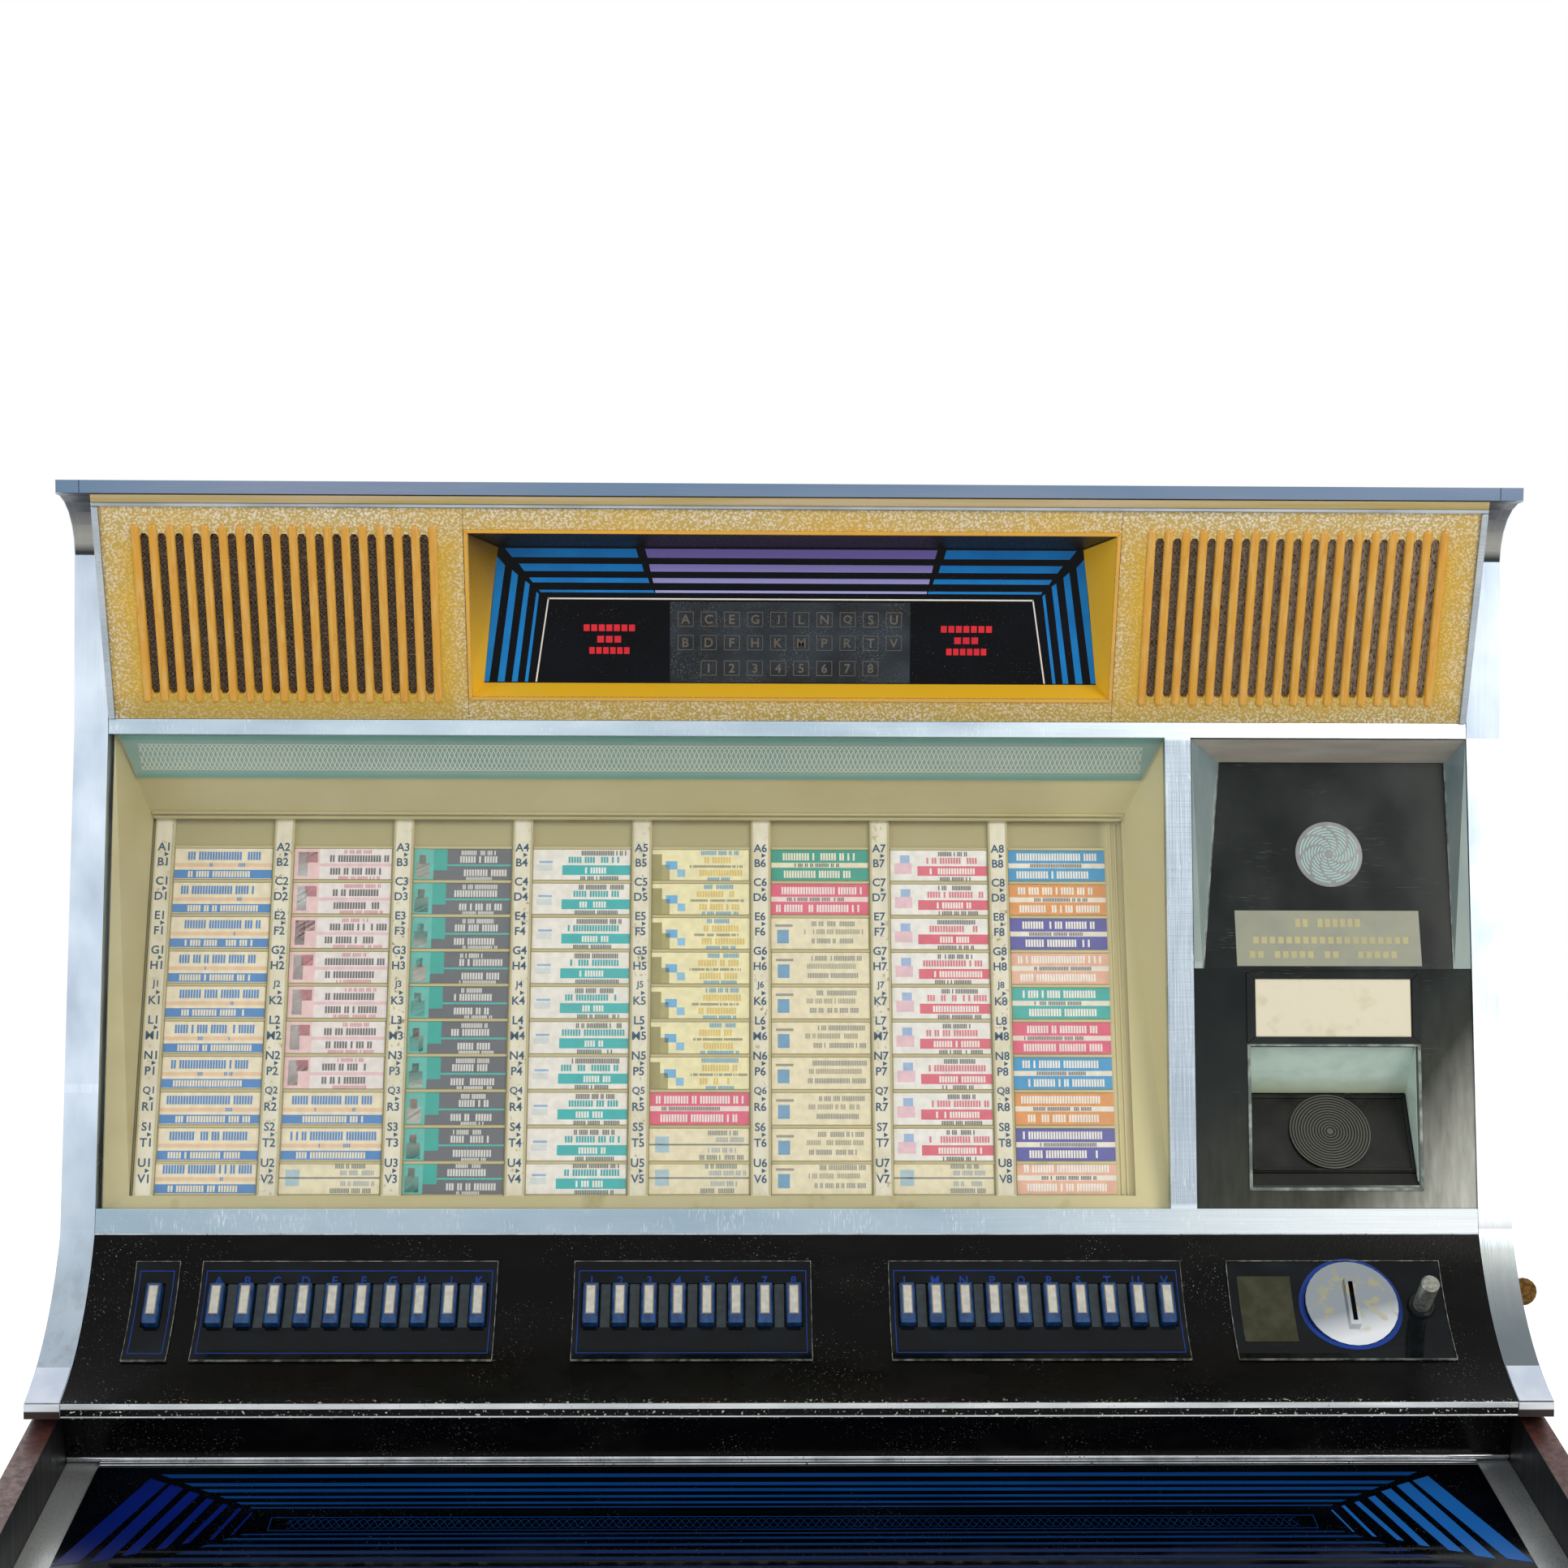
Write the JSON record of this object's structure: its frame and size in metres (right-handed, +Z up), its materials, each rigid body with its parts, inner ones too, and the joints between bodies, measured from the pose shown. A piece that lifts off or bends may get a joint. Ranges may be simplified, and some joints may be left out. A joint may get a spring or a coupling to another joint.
{
  "type": "jukebox",
  "caption": "Floor-standing jukebox with a lift-up selector lid, lettered keys, title rack, coin entry, striped glass and a record mechanism inside.",
  "frame": {"origin": "on the floor, under the middle of the cabinet", "axes": "+Z up, the front with the keys faces -Y, +X to the right of someone facing the front"},
  "size_m": [1.049, 0.69, 1.3],
  "materials": {
    "wood_laminate": "dark reddish brown wood grain laminate, worn",
    "black_board": "black painted board",
    "cap_metal": "polished anodised strip, blue grey",
    "satin_aluminium": "satin brushed",
    "yellow_abs": "pebble grain, worn pale at edges",
    "display_glass": "black glass with blue and violet stripes",
    "window_glass": "clear",
    "cream_abs": "satin",
    "ivory_abs": "satin",
    "black_gloss": "gloss",
    "black_satin": "satin",
    "blue_abs": "gloss, ivory insert",
    "chrome": "mirror bright",
    "brass": "worn",
    "zinc_steel": "zinc plated",
    "black_rubber": "ribbed mat"
  },
  "bodies": {
    "cabinet": {"cabinet_side_left": "wood_laminate", "cabinet_side_right": "wood_laminate", "base_board": "black_board", "back_rail": "black_board", "apron_panel": "black_satin", "deck_frame": "satin_aluminium", "deck_glass": "display_glass", "mechanism_base": "zinc_steel", "amplifier": "zinc_steel"},
    "lid": {"top_cap": "cap_metal", "cheek_left": "satin_aluminium", "cheek_right": "satin_aluminium", "grille_left": "yellow_abs", "grille_right": "yellow_abs", "display_bezel": "yellow_abs", "display_glass": "display_glass", "window_frame": "satin_aluminium", "window_glass": "window_glass", "title_tray": "cream_abs", "coin_panel": "black_gloss", "key_panel": "black_satin", "coin_entry": "chrome"},
    "rear_door": {"rear_door": "black_board"},
    "lower_door": {"lower_door": "black_gloss"},
    "title_rack": {"title_rack": "ivory_abs"},
    "coin_return_flap": {"coin_return_flap": "black_satin"},
    "reject_button": {"reject_button": "chrome"},
    "lock_key": {"lock_key": "brass"},
    "record_magazine": {"record_magazine": "zinc_steel"},
    "turntable": {"turntable": "black_rubber"},
    "tone_arm": {"tone_arm": "chrome"},
    "key_reset": {"key_reset": "blue_abs"},
    "key_a": {"key_a": "blue_abs"},
    "key_b": {"key_b": "blue_abs"},
    "key_c": {"key_c": "blue_abs"},
    "key_d": {"key_d": "blue_abs"},
    "key_e": {"key_e": "blue_abs"},
    "key_f": {"key_f": "blue_abs"},
    "key_g": {"key_g": "blue_abs"},
    "key_h": {"key_h": "blue_abs"},
    "key_j": {"key_j": "blue_abs"},
    "key_k": {"key_k": "blue_abs"},
    "key_1": {"key_1": "blue_abs"},
    "key_2": {"key_2": "blue_abs"},
    "key_3": {"key_3": "blue_abs"},
    "key_4": {"key_4": "blue_abs"},
    "key_5": {"key_5": "blue_abs"},
    "key_6": {"key_6": "blue_abs"},
    "key_7": {"key_7": "blue_abs"},
    "key_8": {"key_8": "blue_abs"},
    "key_l": {"key_l": "blue_abs"},
    "key_m": {"key_m": "blue_abs"},
    "key_n": {"key_n": "blue_abs"},
    "key_p": {"key_p": "blue_abs"},
    "key_q": {"key_q": "blue_abs"},
    "key_r": {"key_r": "blue_abs"},
    "key_s": {"key_s": "blue_abs"},
    "key_t": {"key_t": "blue_abs"},
    "key_u": {"key_u": "blue_abs"},
    "key_v": {"key_v": "blue_abs"}
  },
  "joints": [
    {"name": "lid_hinge", "type": "hinge", "parent": "cabinet", "child": "lid", "pos_m": [0, 0.345, 1.291], "axis": [-1, 0, 0], "range_deg": [0, 60]},
    {"name": "rear_door_hinge", "type": "hinge", "parent": "cabinet", "child": "rear_door", "pos_m": [-0.4937, 0.345, 0.6], "axis": [0, 0, 1], "range_deg": [0, 110]},
    {"name": "lower_door_hinge", "type": "hinge", "parent": "cabinet", "child": "lower_door", "pos_m": [0, -0.29638, 0.0853], "axis": [1, 0, 0], "range_deg": [0, 85]},
    {"name": "title_rack_hinge", "type": "hinge", "parent": "lid", "child": "title_rack", "pos_m": [0, -0.08315, 0.79511], "axis": [-1, 0, 0], "range_deg": [0, 35]},
    {"name": "coin_return_hinge", "type": "hinge", "parent": "lid", "child": "coin_return_flap", "pos_m": [0.3878, -0.05228, 0.86297], "axis": [1, 0, 0], "range_deg": [0, 50], "stiffness_Nm_per_rad": 0.06, "springref_deg": -28.65},
    {"name": "reject_push", "type": "slide", "parent": "lid", "child": "reject_button", "axis": [0, 0.7193, -0.6947], "range_m": [0, 0.004], "stiffness_N_per_m": 300, "springref_m": -0.003},
    {"name": "lock_turn", "type": "hinge", "parent": "lid", "child": "lock_key", "pos_m": [0.512, -0.085, 0.726], "axis": [1, 0, 0], "range_deg": [0, 90]},
    {"name": "magazine_spin", "type": "hinge", "parent": "cabinet", "child": "record_magazine", "pos_m": [0, 0.085, 0.5], "axis": [0, 0, 1], "continuous": true},
    {"name": "turntable_spin", "type": "hinge", "parent": "cabinet", "child": "turntable", "pos_m": [0, 0.085, 0.7], "axis": [0, 0, 1], "continuous": true},
    {"name": "tone_arm_swing", "type": "hinge", "parent": "cabinet", "child": "tone_arm", "pos_m": [0.248, 0.085, 0.729], "axis": [0, 0, 1], "range_deg": [0, 28]},
    {"name": "key_reset_press", "type": "slide", "parent": "lid", "child": "key_reset", "axis": [0, 0.7193, -0.6947], "range_m": [0, 0.004], "stiffness_N_per_m": 150, "springref_m": -0.002},
    {"name": "key_a_press", "type": "slide", "parent": "lid", "child": "key_a", "axis": [0, 0.7193, -0.6947], "range_m": [0, 0.004], "stiffness_N_per_m": 150, "springref_m": -0.002},
    {"name": "key_b_press", "type": "slide", "parent": "lid", "child": "key_b", "axis": [0, 0.7193, -0.6947], "range_m": [0, 0.004], "stiffness_N_per_m": 150, "springref_m": -0.002},
    {"name": "key_c_press", "type": "slide", "parent": "lid", "child": "key_c", "axis": [0, 0.7193, -0.6947], "range_m": [0, 0.004], "stiffness_N_per_m": 150, "springref_m": -0.002},
    {"name": "key_d_press", "type": "slide", "parent": "lid", "child": "key_d", "axis": [0, 0.7193, -0.6947], "range_m": [0, 0.004], "stiffness_N_per_m": 150, "springref_m": -0.002},
    {"name": "key_e_press", "type": "slide", "parent": "lid", "child": "key_e", "axis": [0, 0.7193, -0.6947], "range_m": [0, 0.004], "stiffness_N_per_m": 150, "springref_m": -0.002},
    {"name": "key_f_press", "type": "slide", "parent": "lid", "child": "key_f", "axis": [0, 0.7193, -0.6947], "range_m": [0, 0.004], "stiffness_N_per_m": 150, "springref_m": -0.002},
    {"name": "key_g_press", "type": "slide", "parent": "lid", "child": "key_g", "axis": [0, 0.7193, -0.6947], "range_m": [0, 0.004], "stiffness_N_per_m": 150, "springref_m": -0.002},
    {"name": "key_h_press", "type": "slide", "parent": "lid", "child": "key_h", "axis": [0, 0.7193, -0.6947], "range_m": [0, 0.004], "stiffness_N_per_m": 150, "springref_m": -0.002},
    {"name": "key_j_press", "type": "slide", "parent": "lid", "child": "key_j", "axis": [0, 0.7193, -0.6947], "range_m": [0, 0.004], "stiffness_N_per_m": 150, "springref_m": -0.002},
    {"name": "key_k_press", "type": "slide", "parent": "lid", "child": "key_k", "axis": [0, 0.7193, -0.6947], "range_m": [0, 0.004], "stiffness_N_per_m": 150, "springref_m": -0.002},
    {"name": "key_1_press", "type": "slide", "parent": "lid", "child": "key_1", "axis": [0, 0.7193, -0.6947], "range_m": [0, 0.004], "stiffness_N_per_m": 150, "springref_m": -0.002},
    {"name": "key_2_press", "type": "slide", "parent": "lid", "child": "key_2", "axis": [0, 0.7193, -0.6947], "range_m": [0, 0.004], "stiffness_N_per_m": 150, "springref_m": -0.002},
    {"name": "key_3_press", "type": "slide", "parent": "lid", "child": "key_3", "axis": [0, 0.7193, -0.6947], "range_m": [0, 0.004], "stiffness_N_per_m": 150, "springref_m": -0.002},
    {"name": "key_4_press", "type": "slide", "parent": "lid", "child": "key_4", "axis": [0, 0.7193, -0.6947], "range_m": [0, 0.004], "stiffness_N_per_m": 150, "springref_m": -0.002},
    {"name": "key_5_press", "type": "slide", "parent": "lid", "child": "key_5", "axis": [0, 0.7193, -0.6947], "range_m": [0, 0.004], "stiffness_N_per_m": 150, "springref_m": -0.002},
    {"name": "key_6_press", "type": "slide", "parent": "lid", "child": "key_6", "axis": [0, 0.7193, -0.6947], "range_m": [0, 0.004], "stiffness_N_per_m": 150, "springref_m": -0.002},
    {"name": "key_7_press", "type": "slide", "parent": "lid", "child": "key_7", "axis": [0, 0.7193, -0.6947], "range_m": [0, 0.004], "stiffness_N_per_m": 150, "springref_m": -0.002},
    {"name": "key_8_press", "type": "slide", "parent": "lid", "child": "key_8", "axis": [0, 0.7193, -0.6947], "range_m": [0, 0.004], "stiffness_N_per_m": 150, "springref_m": -0.002},
    {"name": "key_l_press", "type": "slide", "parent": "lid", "child": "key_l", "axis": [0, 0.7193, -0.6947], "range_m": [0, 0.004], "stiffness_N_per_m": 150, "springref_m": -0.002},
    {"name": "key_m_press", "type": "slide", "parent": "lid", "child": "key_m", "axis": [0, 0.7193, -0.6947], "range_m": [0, 0.004], "stiffness_N_per_m": 150, "springref_m": -0.002},
    {"name": "key_n_press", "type": "slide", "parent": "lid", "child": "key_n", "axis": [0, 0.7193, -0.6947], "range_m": [0, 0.004], "stiffness_N_per_m": 150, "springref_m": -0.002},
    {"name": "key_p_press", "type": "slide", "parent": "lid", "child": "key_p", "axis": [0, 0.7193, -0.6947], "range_m": [0, 0.004], "stiffness_N_per_m": 150, "springref_m": -0.002},
    {"name": "key_q_press", "type": "slide", "parent": "lid", "child": "key_q", "axis": [0, 0.7193, -0.6947], "range_m": [0, 0.004], "stiffness_N_per_m": 150, "springref_m": -0.002},
    {"name": "key_r_press", "type": "slide", "parent": "lid", "child": "key_r", "axis": [0, 0.7193, -0.6947], "range_m": [0, 0.004], "stiffness_N_per_m": 150, "springref_m": -0.002},
    {"name": "key_s_press", "type": "slide", "parent": "lid", "child": "key_s", "axis": [0, 0.7193, -0.6947], "range_m": [0, 0.004], "stiffness_N_per_m": 150, "springref_m": -0.002},
    {"name": "key_t_press", "type": "slide", "parent": "lid", "child": "key_t", "axis": [0, 0.7193, -0.6947], "range_m": [0, 0.004], "stiffness_N_per_m": 150, "springref_m": -0.002},
    {"name": "key_u_press", "type": "slide", "parent": "lid", "child": "key_u", "axis": [0, 0.7193, -0.6947], "range_m": [0, 0.004], "stiffness_N_per_m": 150, "springref_m": -0.002},
    {"name": "key_v_press", "type": "slide", "parent": "lid", "child": "key_v", "axis": [0, 0.7193, -0.6947], "range_m": [0, 0.004], "stiffness_N_per_m": 150, "springref_m": -0.002}
  ]
}
